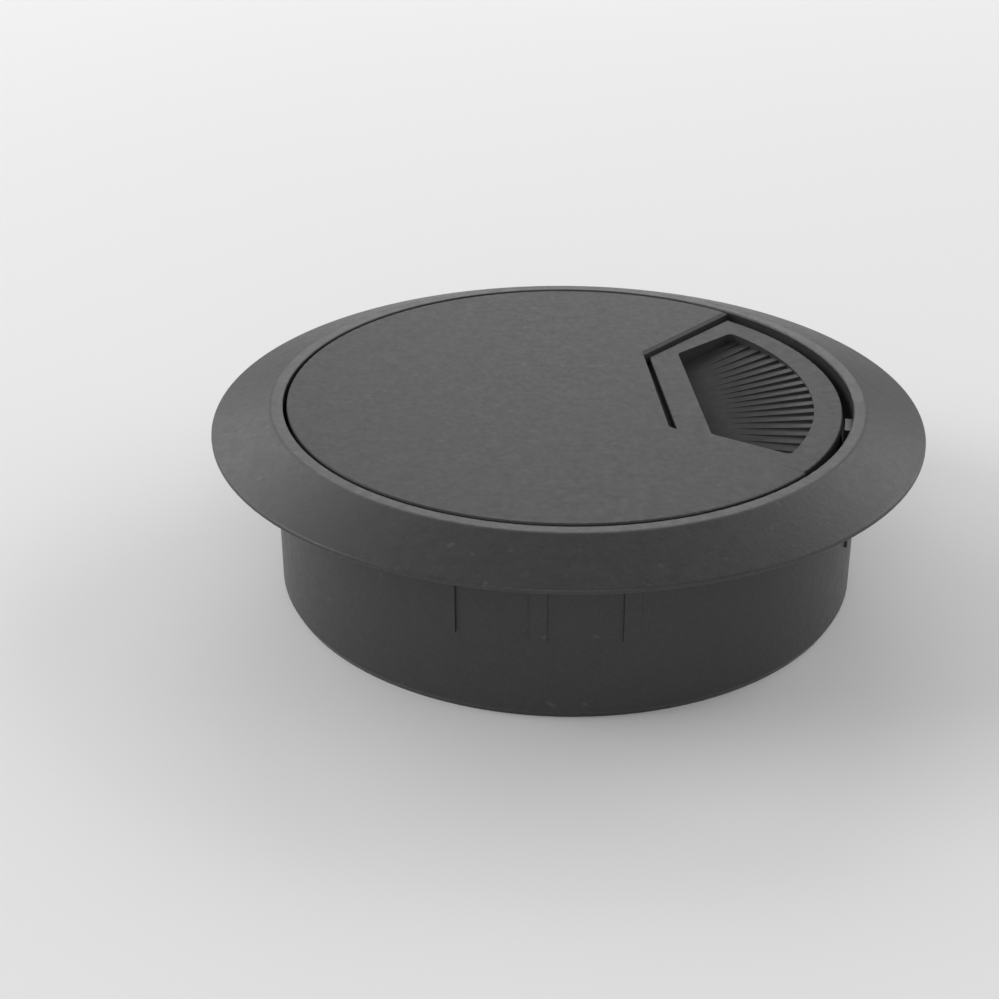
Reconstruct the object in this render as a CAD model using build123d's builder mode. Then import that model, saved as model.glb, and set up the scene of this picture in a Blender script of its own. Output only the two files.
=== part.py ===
"""Desk cable grommet: a flanged liner, a lift-out cap with a cable window, and a turning gate.

Millimetres, +Z up. The origin is the centre of the liner's foot, so the grommet stands on Z = 0.
The cable window points towards WINDOW_DIRECTION, measured from +X about +Z.
"""

import os
from math import atan2, cos, degrees, radians, sin

from build123d import *

os.makedirs("parts", exist_ok=True)

# ---------------------------------------------------------------- driving dimensions
TOTAL_HEIGHT = 16.4

# liner: flange ring and sleeve
FLANGE_RADIUS = 30.0
LIP_OUTER_RADIUS = 25.0
FLANGE_DROP = 1.9              # the outer edge lies this far below the lip
FLANGE_EDGE = 0.4              # thickness of the outer edge
SLEEVE_RADIUS = 24.8
BORE_RADIUS = 23.35
RECESS_RADIUS = 23.95
RECESS_DEPTH = 3.4
FLANGE_EDGE_ROUND = 0.15
LIP_OUTER_ROUND = 0.8
LIP_INNER_ROUND = 0.12
FOOT_CHAMFER = 0.6             # its height
FOOT_CHAMFER_WIDTH = 0.3

CRUSH_RIB_RADIUS = 25.0        # the ribs reach the 50 mm hole
CRUSH_RIB_WIDTH = 1.3
CRUSH_RIB_LENGTH = 7.2
CRUSH_RIB_GROUPS = 4
CRUSH_RIBS_PER_GROUP = 3
CRUSH_RIB_STEP = 16.3
CRUSH_RIB_START = -110.6

TAB_COUNT = 8                  # tabs on the recess wall that the cap rests on
TAB_START = -8.6
TAB_WIDTH = 2.3

# cap: disc, window, pivot post, stop rib and skirt
CAP_RADIUS = 23.65
CAP_RIM_INNER_RADIUS = 23.33
CAP_THICKNESS = 1.1
CAP_EDGE_ROUND = 0.12
WINDOW_DIRECTION = 6.15
WINDOW_HALF_ANGLE = 44.85
WINDOW_CHORD = 7.58
WINDOW_CORNER_ROUND = 0.25
WINDOW_BEVEL_WIDTH = 0.4       # along the window's side that the gate never passes under
WINDOW_BEVEL_DEPTH = 0.15
WINDOW_BEVEL_SETBACK = 0.2     # from the window's inner corner to the bevel's end
POCKET_INNER_RADIUS = 7.75
POCKET_ROOF = 0.35             # cap thickness left over the gate's path
POCKET_MARGIN = 2.4            # degrees past the open gate
SKIRT_OUTER_RADIUS = 22.85
SKIRT_INNER_RADIUS = 21.65
SKIRT_DEPTH = 3.6
SKIRT_GAP = 4.0                # degrees between the gate's path and the skirt
POST_RADIUS = 2.6
POST_HEAD_RADIUS = 3.0
POST_HEAD_LENGTH = 1.3
POST_BORE_RADIUS = 1.2
POST_SLOT = 0.9
POST_SLOT_RISE = 0.5           # the slot and the bore run this far above the gate's underside
POST_HEAD_TAPER = 18           # degrees
STOP_INNER_RADIUS = 5.0
STOP_OUTER_RADIUS = 6.6
STOP_PLAY = 0.9                # degrees left between the arm and the stop rib

# gate: hub ring, arm and raised fan with the thumb pad
GATE_DIRECTION = 6.5
GATE_HALF_ANGLE = 43.4
GATE_TRAVEL = 90.0
GATE_CHORD = 8.24
GATE_RADIUS = 23.1
GATE_TOP_DEPTH = 0.43
ARM_TOP_DEPTH = 1.2
GATE_BOTTOM_DEPTH = 2.6
GATE_EDGE_ROUND = 0.12
HUB_RADIUS = 4.4
PIVOT_PLAY = 0.06
PIVOT_END_PLAY = 0.12          # between the hub ring and the snap head
ARM_INNER_CHORD = 0.5

PAD_CHORD = 10.9
PAD_RADIUS = 20.75
PAD_HALF_ANGLE = 37.5
PAD_CORNER_ROUND = 0.5
PAD_DEPTH = 1.5                # at the straight inner side
PAD_OUTER_DEPTH = 0.3          # at the arc
RIDGE_COUNT = 19
RIDGE_SPAN = 1.75              # degrees
RIDGE_START = 13.4
RIDGE_TOP_DEPTH = 0.05         # of the ridges' outer ends

ROOT_OVERLAP = 0.3             # an added shape runs this far into what it stands on
CUT_MARGIN = 1.0               # a cutting shape runs this far past what it cuts

# ---------------------------------------------------------------- levels
flange_edge_top = TOTAL_HEIGHT - FLANGE_DROP
flange_underside = flange_edge_top - FLANGE_EDGE
recess_floor = TOTAL_HEIGHT - RECESS_DEPTH
cap_underside = TOTAL_HEIGHT - CAP_THICKNESS
pocket_roof_level = TOTAL_HEIGHT - POCKET_ROOF
gate_top = TOTAL_HEIGHT - GATE_TOP_DEPTH
arm_top = TOTAL_HEIGHT - ARM_TOP_DEPTH
gate_bottom = TOTAL_HEIGHT - GATE_BOTTOM_DEPTH
post_neck_end = gate_bottom - PIVOT_END_PLAY
post_end = post_neck_end - POST_HEAD_LENGTH


def polar(radius, angle):
    """Point at a radius and an angle in degrees from +X."""
    return (radius * cos(radians(angle)), radius * sin(radians(angle)))


def fan_outline(chord, radius, direction, half_angle):
    """Edges of a fan: a straight inner chord, two radial sides and an arc round the origin."""
    inner = chord / cos(radians(half_angle))
    near_start = polar(inner, direction - half_angle)
    near_end = polar(inner, direction + half_angle)
    far_start = polar(radius, direction - half_angle)
    far_end = polar(radius, direction + half_angle)
    with BuildLine() as outline:
        Line(near_end, near_start)
        Line(near_start, far_start)
        ThreePointArc(far_start, polar(radius, direction), far_end)
        Line(far_end, near_end)
    return outline.edges()


def ring_outline(inner, outer, start, end):
    """Edges of a stretch of a ring from a start angle to an end angle."""
    middle = (start + end) / 2
    with BuildLine() as outline:
        Line(polar(inner, start), polar(outer, start))
        ThreePointArc(polar(outer, start), polar(outer, middle), polar(outer, end))
        Line(polar(outer, end), polar(inner, end))
        ThreePointArc(polar(inner, end), polar(inner, middle), polar(inner, start))
    return outline.edges()


# ---------------------------------------------------------------- liner
crush_rib_angles = [
    CRUSH_RIB_START + group * 360 / CRUSH_RIB_GROUPS + index * CRUSH_RIB_STEP
    for group in range(CRUSH_RIB_GROUPS)
    for index in range(CRUSH_RIBS_PER_GROUP)
]
crush_rib_half_turn = degrees(CRUSH_RIB_WIDTH / 2 / SLEEVE_RADIUS)
crush_rib_root = SLEEVE_RADIUS - ROOT_OVERLAP
tab_half_turn = degrees(TAB_WIDTH / 2 / RECESS_RADIUS)

with BuildPart() as liner:
    with BuildSketch(Plane.XZ):
        with BuildLine():
            Polyline(
                (RECESS_RADIUS, recess_floor),
                (RECESS_RADIUS, TOTAL_HEIGHT),
                (LIP_OUTER_RADIUS, TOTAL_HEIGHT),
                (FLANGE_RADIUS, flange_edge_top),
                (FLANGE_RADIUS, flange_underside),
                (SLEEVE_RADIUS, flange_underside),
                (SLEEVE_RADIUS, FOOT_CHAMFER),
                (SLEEVE_RADIUS - FOOT_CHAMFER_WIDTH, 0),
                (BORE_RADIUS, 0),
                (BORE_RADIUS, recess_floor),
                (RECESS_RADIUS, recess_floor),
            )
        make_face()
    revolve(axis=Axis.Z)
    lip_edges = liner.edges().filter_by(GeomType.CIRCLE).group_by(Axis.Z)[-1]
    fillet(lip_edges.sort_by(SortBy.RADIUS)[-1], radius=LIP_OUTER_ROUND)
    fillet(lip_edges.sort_by(SortBy.RADIUS)[0], radius=LIP_INNER_ROUND)
    rim_edges = liner.edges().filter_by(GeomType.CIRCLE).sort_by(SortBy.RADIUS)[-2:]
    fillet(rim_edges, radius=FLANGE_EDGE_ROUND)
    for rib_angle in crush_rib_angles:
        with BuildSketch(Plane.XY.offset(flange_underside)):
            rib_start = rib_angle - crush_rib_half_turn
            rib_end = rib_angle + crush_rib_half_turn
            make_face(ring_outline(crush_rib_root, CRUSH_RIB_RADIUS, rib_start, rib_end))
        extrude(amount=-CRUSH_RIB_LENGTH)
    with BuildSketch(Plane.XY.offset(recess_floor)):
        for tab in range(TAB_COUNT):
            tab_angle = TAB_START + tab * 360 / TAB_COUNT
            tab_start = tab_angle - tab_half_turn
            tab_end = tab_angle + tab_half_turn
            make_face(ring_outline(BORE_RADIUS, RECESS_RADIUS + ROOT_OVERLAP, tab_start, tab_end))
    extrude(amount=cap_underside - recess_floor)
liner.part.label = "liner"
export_step(liner.part, "parts/liner.step")

# ---------------------------------------------------------------- cap
gate_side_low = GATE_DIRECTION - GATE_HALF_ANGLE
gate_side_high = GATE_DIRECTION + GATE_HALF_ANGLE
window_side_high = WINDOW_DIRECTION + WINDOW_HALF_ANGLE
path_start = gate_side_low - GATE_TRAVEL - POCKET_MARGIN
path_end = WINDOW_DIRECTION
skirt_start = window_side_high + POCKET_MARGIN + SKIRT_GAP
skirt_end = path_start + 360 - SKIRT_GAP
stop_start = gate_side_high + STOP_PLAY
stop_end = gate_side_low - GATE_TRAVEL + 360 - STOP_PLAY

# the bevel runs along the window's side line, from the top face down to the side wall
bevel_plane = Plane(
    origin=(0, 0, TOTAL_HEIGHT),
    x_dir=(*polar(1, window_side_high + 90), 0),
    z_dir=(*polar(1, window_side_high), 0),
)
window_corner_radius = WINDOW_CHORD / cos(radians(WINDOW_HALF_ANGLE))
with BuildPart() as window_bevel:
    with BuildSketch(bevel_plane.offset(window_corner_radius + WINDOW_BEVEL_SETBACK)):
        with BuildLine():
            Polyline(
                (-CUT_MARGIN, CUT_MARGIN),
                (WINDOW_BEVEL_WIDTH, CUT_MARGIN),
                (WINDOW_BEVEL_WIDTH, 0),
                (0, -WINDOW_BEVEL_DEPTH),
                (-CUT_MARGIN, -WINDOW_BEVEL_DEPTH),
                (-CUT_MARGIN, CUT_MARGIN),
            )
        make_face()
    extrude(amount=CAP_RADIUS)

with BuildPart() as cap:
    with BuildSketch(Plane.XY.offset(cap_underside)):
        Circle(CAP_RADIUS)
    extrude(amount=CAP_THICKNESS)
    fillet(cap.edges().filter_by(GeomType.CIRCLE).sort_by(Axis.Z)[-1], radius=CAP_EDGE_ROUND)
    with BuildSketch(Plane.XY.offset(cap_underside)):
        make_face(ring_outline(POCKET_INNER_RADIUS, CAP_RIM_INNER_RADIUS, path_start, path_end))
    extrude(amount=CAP_THICKNESS - POCKET_ROOF, mode=Mode.SUBTRACT)
    with BuildSketch(Plane.XY.offset(cap_underside)):
        make_face(ring_outline(SKIRT_INNER_RADIUS, SKIRT_OUTER_RADIUS, skirt_start, skirt_end))
        make_face(ring_outline(STOP_INNER_RADIUS, STOP_OUTER_RADIUS, stop_start, stop_end))
    extrude(amount=-(SKIRT_DEPTH - CAP_THICKNESS))
    with BuildSketch(Plane.XY.offset(cap_underside)) as window_outline:
        window_reach = CAP_RADIUS + CUT_MARGIN
        make_face(fan_outline(WINDOW_CHORD, window_reach, WINDOW_DIRECTION, WINDOW_HALF_ANGLE))
        fillet(window_outline.vertices().sort_by_distance((0, 0, cap_underside))[:2], WINDOW_CORNER_ROUND)
    extrude(amount=CAP_THICKNESS, mode=Mode.SUBTRACT)
    add(window_bevel.part, mode=Mode.SUBTRACT)
    with BuildSketch(Plane.XY.offset(cap_underside)):
        Circle(POST_RADIUS)
    extrude(amount=post_neck_end - cap_underside)
    with BuildSketch(Plane.XY.offset(post_neck_end)):
        Circle(POST_HEAD_RADIUS)
    extrude(amount=post_end - post_neck_end, taper=POST_HEAD_TAPER)
    with BuildSketch(Plane.XY.offset(post_end)):
        Circle(POST_BORE_RADIUS)
        Rectangle(POST_SLOT, 4 * POST_RADIUS)
    extrude(amount=gate_bottom + POST_SLOT_RISE - post_end, mode=Mode.SUBTRACT)
cap.part.label = "cap"
export_step(cap.part, "parts/cap.step")

# ---------------------------------------------------------------- gate
arm_reach = GATE_CHORD / cos(radians(GATE_HALF_ANGLE))
ramp_run = PAD_RADIUS - PAD_CHORD
ramp_slope = (PAD_DEPTH - PAD_OUTER_DEPTH) / ramp_run
ridge_start_depth = PAD_OUTER_DEPTH + ramp_slope * (PAD_RADIUS - RIDGE_START)
ridge_slope = (ridge_start_depth - RIDGE_TOP_DEPTH) / (PAD_RADIUS - RIDGE_START)
ridge_pitch = 2 * PAD_HALF_ANGLE / RIDGE_COUNT
ridge_root = RIDGE_START - CUT_MARGIN
scoop_floor_level = gate_top - PAD_DEPTH - ROOT_OVERLAP


def tilted_plane(depth, slope):
    """Plane through the middle of the pad's arc at a depth, falling towards the pivot."""
    tilt = atan2(slope, 1)
    return Plane(
        origin=(*polar(PAD_RADIUS, GATE_DIRECTION), gate_top - depth),
        x_dir=(*polar(1, GATE_DIRECTION + 90), 0),
        z_dir=(*polar(-sin(tilt), GATE_DIRECTION), cos(tilt)),
    )


with BuildPart() as scoop:
    with BuildSketch(Plane.XY.offset(scoop_floor_level)) as pad_outline:
        make_face(fan_outline(PAD_CHORD, PAD_RADIUS, GATE_DIRECTION, PAD_HALF_ANGLE))
        fillet(pad_outline.vertices(), PAD_CORNER_ROUND)
    extrude(amount=2 * PAD_DEPTH)
    with BuildSketch(tilted_plane(PAD_OUTER_DEPTH, ramp_slope)):
        Rectangle(4 * PAD_RADIUS, 4 * PAD_RADIUS)
    extrude(amount=-4 * PAD_DEPTH, mode=Mode.SUBTRACT)

with BuildPart() as ridges:
    with BuildSketch(Plane.XY.offset(scoop_floor_level)):
        for ridge in range(RIDGE_COUNT):
            ridge_angle = GATE_DIRECTION - PAD_HALF_ANGLE + (ridge + 0.5) * ridge_pitch
            ridge_low = ridge_angle - RIDGE_SPAN / 2
            ridge_high = ridge_angle + RIDGE_SPAN / 2
            make_face(ring_outline(ridge_root, PAD_RADIUS + ROOT_OVERLAP, ridge_low, ridge_high))
    extrude(amount=2 * PAD_DEPTH)
    with BuildSketch(tilted_plane(RIDGE_TOP_DEPTH, ridge_slope)):
        Rectangle(4 * PAD_RADIUS, 4 * PAD_RADIUS)
    extrude(amount=4 * PAD_DEPTH, mode=Mode.SUBTRACT)

with BuildPart() as gate:
    with BuildSketch(Plane.XY.offset(gate_bottom)):
        Circle(HUB_RADIUS)
        make_face(fan_outline(ARM_INNER_CHORD, arm_reach, GATE_DIRECTION, GATE_HALF_ANGLE))
    extrude(amount=arm_top - gate_bottom)
    with BuildSketch(Plane.XY.offset(gate_bottom)):
        make_face(fan_outline(GATE_CHORD, GATE_RADIUS, GATE_DIRECTION, GATE_HALF_ANGLE))
    extrude(amount=gate_top - gate_bottom)
    fillet(gate.faces().sort_by(Axis.Z)[-1].edges(), radius=GATE_EDGE_ROUND)
    add(scoop.part, mode=Mode.SUBTRACT)
    add(ridges.part)
    with BuildSketch(Plane.XY.offset(gate_bottom)):
        Circle(POST_RADIUS + PIVOT_PLAY)
    extrude(amount=arm_top - gate_bottom, mode=Mode.SUBTRACT)
gate.part.label = "gate"
export_step(gate.part, "parts/gate.step")
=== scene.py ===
"""Looks for the desk cable grommet: moulded matte black plastic on a pale studio floor.

Metres, in the same frame as the CAD: +Z up, with the grommet standing on Z = 0.
"""

import math

import bpy
from mathutils import Matrix, Vector


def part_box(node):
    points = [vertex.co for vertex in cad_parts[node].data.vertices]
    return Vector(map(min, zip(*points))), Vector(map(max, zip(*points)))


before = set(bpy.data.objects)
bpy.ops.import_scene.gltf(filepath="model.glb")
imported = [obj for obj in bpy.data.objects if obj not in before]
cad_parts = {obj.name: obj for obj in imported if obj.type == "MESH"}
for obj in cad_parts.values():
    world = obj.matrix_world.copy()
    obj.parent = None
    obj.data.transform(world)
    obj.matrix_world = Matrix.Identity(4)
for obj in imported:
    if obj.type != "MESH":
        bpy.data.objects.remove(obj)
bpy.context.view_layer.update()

MM = 0.001
cap_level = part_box("liner")[1].z        # the cap lies flush with the liner's lip
gate_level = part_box("gate")[1].z

# the mix node's colour sockets share their names with its other sockets, so they go by number
MIX_COLOUR_A = 6
MIX_COLOUR_B = 7
MIX_COLOUR_RESULT = 2

# ---------------------------------------------------------------- plastic finish
CAP_TONE = (0.0220, 0.0220, 0.0223)     # the gate is moulded in the same plastic
LINER_TONE = (0.0250, 0.0250, 0.0254)
CAP_ROUGHNESS = 0.56
LINER_ROUGHNESS = 0.44
CAP_GRAIN = 0.6                         # strength of the bump
LINER_GRAIN = 0.7
CAP_SPECKLE = 1.9                       # how much paler the specks are than the plastic
LINER_SPECKLE = 2.2

MOTTLE_SCALE = 800.0                    # all noise scales are in features per metre
FINE_SCALE = 4200.0
COARSE_SCALE = 1700.0
DUST_SCALE = 1150.0
MOTTLE_DARKER = 0.93
MOTTLE_LIGHTER = 1.08
GRAIN_AMOUNT = 0.3
DUST_THRESHOLD = (0.80, 0.86)
DUST_AMOUNT = 0.7
ROUGHNESS_SWING = 0.04
FINE_HEIGHT_SHARE = 0.5
GRAIN_HEIGHT = 0.02 * MM

SCOOP_START = 0.15 * MM                 # below the gate's top
SCOOP_FULL = 0.95 * MM
# painted shade: the share of the tone kept at the scoop's full depth, standing in for the shade in
# the recess
SCOOP_PAINTED_SHADE = 0.55
SCOOP_ROUGHNESS_RISE = 0.32

# ---------------------------------------------------------------- studio
FLOOR_SIZE = 4.0
FLOOR_DARK = (0.74, 0.74, 0.745)
FLOOR_PALE = (0.78, 0.78, 0.78)
FLOOR_CLOUD_SCALE = 3.0
FLOOR_ROUGHNESS = 0.8
WORLD_STRENGTH = 0.30
LIGHT_SIZE = 0.5
STUDIO_LIGHTS = (                       # name, place and power in watts
    ("back_light", (0.0, 0.75, 0.42), 1.6),
    ("left_light", (-0.75, 0.0, 0.38), 3.7),
    ("back_left_light", (-0.55, 0.55, 0.42), 1.8),
    ("back_right_light", (0.60, 0.50, 0.40), 2.1),
    ("right_light", (0.75, 0.0, 0.36), 1.3),
    ("front_light", (0.0, -0.75, 0.42), 1.8),
)

CAMERA_DISTANCE = 0.152387              # from the middle of the cap
CAMERA_ELEVATION = 0.4217               # this and the other camera angles are in radians
CAMERA_PAN = -0.0413
CAMERA_TILT = 0.0604
CAMERA_ROLL = -0.0041
CAMERA_LENS_MM = 64.6101
CAMERA_SENSOR_MM = 36.0
CAMERA_CLIP = (0.005, 20.0)


# ---------------------------------------------------------------- node helpers
def new_material(name):
    """An empty node material: returns it with its tree and shader."""
    material = bpy.data.materials.new(name)
    material.use_nodes = True
    tree = material.node_tree
    shader = tree.nodes["Principled BSDF"]
    return material, tree, shader


def object_coordinates(tree):
    """The place of each point in the object's own space."""
    return tree.nodes.new("ShaderNodeTexCoord").outputs["Object"]


def noise(tree, coordinates, scale, detail, roughness):
    """A noise texture, with its scale in features per metre."""
    node = tree.nodes.new("ShaderNodeTexNoise")
    node.inputs["Scale"].default_value = scale
    node.inputs["Detail"].default_value = detail
    node.inputs["Roughness"].default_value = roughness
    tree.links.new(coordinates, node.inputs["Vector"])
    return node.outputs["Fac"]


def ramp(tree, source, low, high, low_value, high_value):
    """A value from low_value to high_value as source goes from low to high."""
    node = tree.nodes.new("ShaderNodeMapRange")
    node.clamp = True
    node.inputs["From Min"].default_value = low
    node.inputs["From Max"].default_value = high
    node.inputs["To Min"].default_value = low_value
    node.inputs["To Max"].default_value = high_value
    tree.links.new(source, node.inputs["Value"])
    return node.outputs["Result"]


def combine(tree, operation, first, second):
    """A math node on two sources, either of which may be a plain number."""
    node = tree.nodes.new("ShaderNodeMath")
    node.operation = operation
    for socket, source in zip(node.inputs, (first, second)):
        if isinstance(source, (int, float)):
            socket.default_value = source
        else:
            tree.links.new(source, socket)
    return node.outputs["Value"]


def mix_colour(tree, factor, first, second):
    """A colour between two colours or colour sources."""
    node = tree.nodes.new("ShaderNodeMix")
    node.data_type = "RGBA"
    tree.links.new(factor, node.inputs["Factor"])
    for socket, source in ((node.inputs[MIX_COLOUR_A], first), (node.inputs[MIX_COLOUR_B], second)):
        if isinstance(source, tuple):
            socket.default_value = (*source, 1.0)
        else:
            tree.links.new(source, socket)
    return node.outputs[MIX_COLOUR_RESULT]


def shade(tone, factor):
    """A tone made lighter or darker by a factor."""
    return tuple(factor * part for part in tone)


def depth_mask(tree, coordinates, level):
    """0 down to the scoop's start below a level, rising to 1 at the scoop's full depth."""
    split = tree.nodes.new("ShaderNodeSeparateXYZ")
    tree.links.new(coordinates, split.inputs["Vector"])
    return ramp(tree, split.outputs["Z"], level - SCOOP_FULL, level - SCOOP_START, 1.0, 0.0)


def moulded_plastic(name, tone, roughness, grain, speckle, scoop_level=None):
    """Matte black plastic from a spark-eroded mould: fine grain, faint mottling, rare pale specks.

    With a scoop level, what lies below that level is darkened with painted shade, standing in for
    the shade in the thumb-pad recess, and is also made rougher.
    """
    material, tree, shader = new_material(name)
    coordinates = object_coordinates(tree)
    mottle = noise(tree, coordinates, MOTTLE_SCALE, 4.0, 0.6)
    fine = noise(tree, coordinates, FINE_SCALE, 2.0, 0.55)
    coarse = noise(tree, coordinates, COARSE_SCALE, 3.0, 0.55)
    dust = noise(tree, coordinates, DUST_SCALE, 0.0, 0.5)

    pale = shade(tone, speckle)
    mottled = ramp(tree, mottle, 0.3, 0.7, 0.0, 1.0)
    body = mix_colour(tree, mottled, shade(tone, MOTTLE_DARKER), shade(tone, MOTTLE_LIGHTER))
    grainy = mix_colour(tree, ramp(tree, fine, 0.4, 0.8, 0.0, GRAIN_AMOUNT), body, pale)
    coloured = mix_colour(tree, ramp(tree, dust, *DUST_THRESHOLD, 0.0, DUST_AMOUNT), grainy, pale)

    smoothest = roughness - ROUGHNESS_SWING
    roughest = roughness + ROUGHNESS_SWING
    rough_mottle = ramp(tree, mottle, 0.25, 0.75, smoothest, roughest)
    rough_grain = ramp(tree, coarse, 0.3, 0.7, -ROUGHNESS_SWING, ROUGHNESS_SWING)
    rough = combine(tree, "ADD", rough_mottle, rough_grain)

    if scoop_level is not None:
        sunk = depth_mask(tree, coordinates, scoop_level)
        # painted shade: the sunk thumb pad is darkened in colour for the shade in its recess, and
        # its roughness rises too
        coloured = mix_colour(tree, sunk, coloured, shade(tone, SCOOP_PAINTED_SHADE))
        rough = combine(tree, "ADD", rough, combine(tree, "MULTIPLY", sunk, SCOOP_ROUGHNESS_RISE))
    tree.links.new(coloured, shader.inputs["Base Color"])
    tree.links.new(rough, shader.inputs["Roughness"])

    height = combine(tree, "ADD", combine(tree, "MULTIPLY", fine, FINE_HEIGHT_SHARE), coarse)
    bump = tree.nodes.new("ShaderNodeBump")
    bump.inputs["Strength"].default_value = grain
    bump.inputs["Distance"].default_value = GRAIN_HEIGHT
    tree.links.new(height, bump.inputs["Height"])
    tree.links.new(bump.outputs["Normal"], shader.inputs["Normal"])
    return material


# ---------------------------------------------------------------- floor, light and camera
def pale_floor():
    """A wide pale floor that fills the view."""
    material, tree, shader = new_material("studio_floor")
    cloud = noise(tree, object_coordinates(tree), FLOOR_CLOUD_SCALE, 2.0, 0.5)
    tree.links.new(mix_colour(tree, cloud, FLOOR_DARK, FLOOR_PALE), shader.inputs["Base Color"])
    shader.inputs["Roughness"].default_value = FLOOR_ROUGHNESS
    bpy.ops.mesh.primitive_plane_add(size=FLOOR_SIZE, location=(0.0, 0.0, 0.0))
    floor = bpy.context.object
    floor.name = "studio_floor"
    floor.data.materials.append(material)


def area_light(name, place, power):
    """A soft square light at place, facing the grommet's foot."""
    data = bpy.data.lights.new(name, "AREA")
    data.shape = "SQUARE"
    data.size = LIGHT_SIZE
    data.energy = power
    light = bpy.data.objects.new(name, data)
    light.location = place
    light.rotation_euler = (-Vector(place)).to_track_quat("-Z", "Y").to_euler()
    bpy.context.scene.collection.objects.link(light)


def studio_world():
    """An even pale surround."""
    world = bpy.data.worlds.new("studio")
    world.use_nodes = True
    background = world.node_tree.nodes["Background"]
    background.inputs["Color"].default_value = (1.0, 1.0, 1.0, 1.0)
    background.inputs["Strength"].default_value = WORLD_STRENGTH
    bpy.context.scene.world = world


def photo_camera():
    """The camera at the photograph's viewing angle, from the front and above."""
    height = cap_level + CAMERA_DISTANCE * math.sin(CAMERA_ELEVATION)
    place = Vector((0.0, -CAMERA_DISTANCE * math.cos(CAMERA_ELEVATION), height))
    pitch = CAMERA_ELEVATION + CAMERA_TILT
    heading = Vector((math.sin(CAMERA_PAN), math.cos(CAMERA_PAN), 0.0))
    forward = math.cos(pitch) * heading - math.sin(pitch) * Vector((0.0, 0.0, 1.0))
    level = Vector((heading.y, -heading.x, 0.0))
    upright = level.cross(forward)
    right = math.cos(CAMERA_ROLL) * level + math.sin(CAMERA_ROLL) * upright
    up = math.cos(CAMERA_ROLL) * upright - math.sin(CAMERA_ROLL) * level

    data = bpy.data.cameras.new("camera")
    data.sensor_width = CAMERA_SENSOR_MM
    data.lens = CAMERA_LENS_MM
    data.clip_start, data.clip_end = CAMERA_CLIP
    camera = bpy.data.objects.new("camera", data)
    rotation = Matrix((right, up, -forward)).transposed().to_4x4()
    camera.matrix_world = Matrix.Translation(place) @ rotation
    bpy.context.scene.collection.objects.link(camera)
    bpy.context.scene.camera = camera


# ---------------------------------------------------------------- the grommet's finishes
cap_look = (CAP_TONE, CAP_ROUGHNESS, CAP_GRAIN, CAP_SPECKLE)
liner_look = (LINER_TONE, LINER_ROUGHNESS, LINER_GRAIN, LINER_SPECKLE)
finishes = {
    "liner": moulded_plastic("liner_plastic", *liner_look),
    "cap": moulded_plastic("cap_plastic", *cap_look),
    "gate": moulded_plastic("gate_plastic", *cap_look, gate_level),
}
for node_name, finish in finishes.items():
    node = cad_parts[node_name]
    node.data.materials.clear()
    node.data.materials.append(finish)

# ---------------------------------------------------------------- the studio
pale_floor()
studio_world()
for light_name, light_place, light_power in STUDIO_LIGHTS:
    area_light(light_name, light_place, light_power)
photo_camera()
bpy.context.scene.view_settings.view_transform = "Standard"
